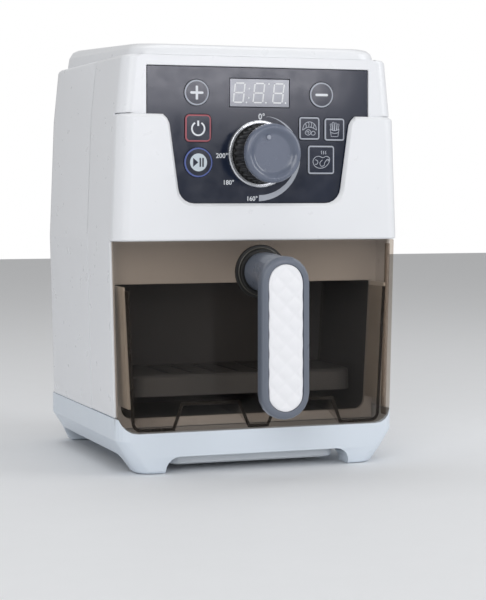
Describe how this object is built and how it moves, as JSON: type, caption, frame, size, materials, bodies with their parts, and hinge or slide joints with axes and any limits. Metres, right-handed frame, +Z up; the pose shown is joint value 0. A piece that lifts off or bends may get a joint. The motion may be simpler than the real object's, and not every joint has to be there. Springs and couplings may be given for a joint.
{
  "type": "toy air fryer",
  "caption": "Toy counter-top air fryer: white housing on a footed base, dark control panel with dial and push keys, smoky pull-out drawer with handle and lift-out grill tray.",
  "frame": {"origin": "on the floor, under the middle of the whole toy's box, handle included", "axes": "+Z up, front and handle towards -Y, +X to the right seen from the front"},
  "size_m": [0.1716, 0.206, 0.2448],
  "materials": {
    "housing_white": "satin gloss",
    "panel_navy": "high gloss",
    "smoky_clear": "clear, smoky brown",
    "dark_plastic": "satin",
    "slate_plastic": "satin gloss",
    "insert_white": "quilted, satin",
    "tray_grey": "satin",
    "silver_trim": "satin metallic plating",
    "knob_black": "high gloss",
    "display_grey": "gloss",
    "display_frame": "satin",
    "steel": "plated",
    "cell_jacket": "gloss jacket",
    "board_green": "satin solder mask",
    "lamp_clear": "clear, tinted",
    "grey_part": "satin",
    "mat_rubber": "matt"
  },
  "bodies": {
    "housing": {"base": "housing_white", "bottom_cover": "housing_white", "battery_door": "housing_white", "battery_door_screw": "steel", "battery_cell_1": "cell_jacket", "battery_cell_2": "cell_jacket", "battery_cell_3": "cell_jacket", "battery_contact_left": "steel", "battery_contact_right": "steel", "base_screw_1": "steel", "base_screw_2": "steel", "base_screw_3": "steel", "base_screw_4": "steel", "front_housing": "housing_white", "rear_housing": "housing_white", "rear_screw_1": "steel", "rear_screw_2": "steel", "rear_screw_3": "steel", "rear_screw_4": "steel", "front_shroud": "housing_white", "top_cap": "housing_white", "cavity_liner": "dark_plastic", "lamp_window_lens": "lamp_clear", "lamp_board": "board_green", "sound_board": "board_green", "speaker": "grey_part", "control_panel": "panel_navy", "display_window": "display_grey", "display_module": "display_frame", "control_board": "board_green", "board_screw_1": "steel", "board_screw_2": "steel", "key_mat": "mat_rubber", "dial_ring": "silver_trim", "dial_encoder": "grey_part"},
    "drawer": {"drawer_front": "smoky_clear", "drawer_bucket": "smoky_clear", "drawer_back": "dark_plastic", "handle_collar": "dark_plastic", "handle_grip": "slate_plastic", "handle_insert": "insert_white", "handle_screw_1": "steel", "handle_screw_2": "steel"},
    "tray": {"grill_tray": "tray_grey"},
    "dial": {"knob_body": "knob_black", "knob_cap": "slate_plastic", "knob_pointer": "silver_trim", "knob_shaft": "steel"},
    "plus_key": {"key_plus": "panel_navy"},
    "minus_key": {"key_minus": "panel_navy"},
    "power_key": {"key_power": "panel_navy"},
    "start_key": {"key_start": "panel_navy"},
    "bakery_key": {"key_bakery": "panel_navy"},
    "chips_key": {"key_chips": "panel_navy"},
    "roast_key": {"key_roast": "panel_navy"}
  },
  "joints": [
    {"name": "drawer_slide", "type": "slide", "parent": "housing", "child": "drawer", "axis": [0, -1, 0], "range_m": [0, 0.064]},
    {"name": "tray_lift", "type": "slide", "parent": "drawer", "child": "tray", "axis": [0, 0, 1], "range_m": [0, 0.048]},
    {"name": "dial_turn", "type": "hinge", "parent": "housing", "child": "dial", "pos_m": [0, -0.072, 0.1777], "axis": [0, 1, 0], "range_deg": [0, 270]},
    {"name": "plus_press", "type": "slide", "parent": "housing", "child": "plus_key", "axis": [0, 1, 0], "range_m": [0, 0.0009], "stiffness_N_per_m": 600},
    {"name": "minus_press", "type": "slide", "parent": "housing", "child": "minus_key", "axis": [0, 1, 0], "range_m": [0, 0.0009], "stiffness_N_per_m": 600},
    {"name": "power_press", "type": "slide", "parent": "housing", "child": "power_key", "axis": [0, 1, 0], "range_m": [0, 0.0009], "stiffness_N_per_m": 600},
    {"name": "start_press", "type": "slide", "parent": "housing", "child": "start_key", "axis": [0, 1, 0], "range_m": [0, 0.0009], "stiffness_N_per_m": 600},
    {"name": "bakery_press", "type": "slide", "parent": "housing", "child": "bakery_key", "axis": [0, 1, 0], "range_m": [0, 0.0009], "stiffness_N_per_m": 600},
    {"name": "chips_press", "type": "slide", "parent": "housing", "child": "chips_key", "axis": [0, 1, 0], "range_m": [0, 0.0009], "stiffness_N_per_m": 600},
    {"name": "roast_press", "type": "slide", "parent": "housing", "child": "roast_key", "axis": [0, 1, 0], "range_m": [0, 0.0009], "stiffness_N_per_m": 600}
  ]
}
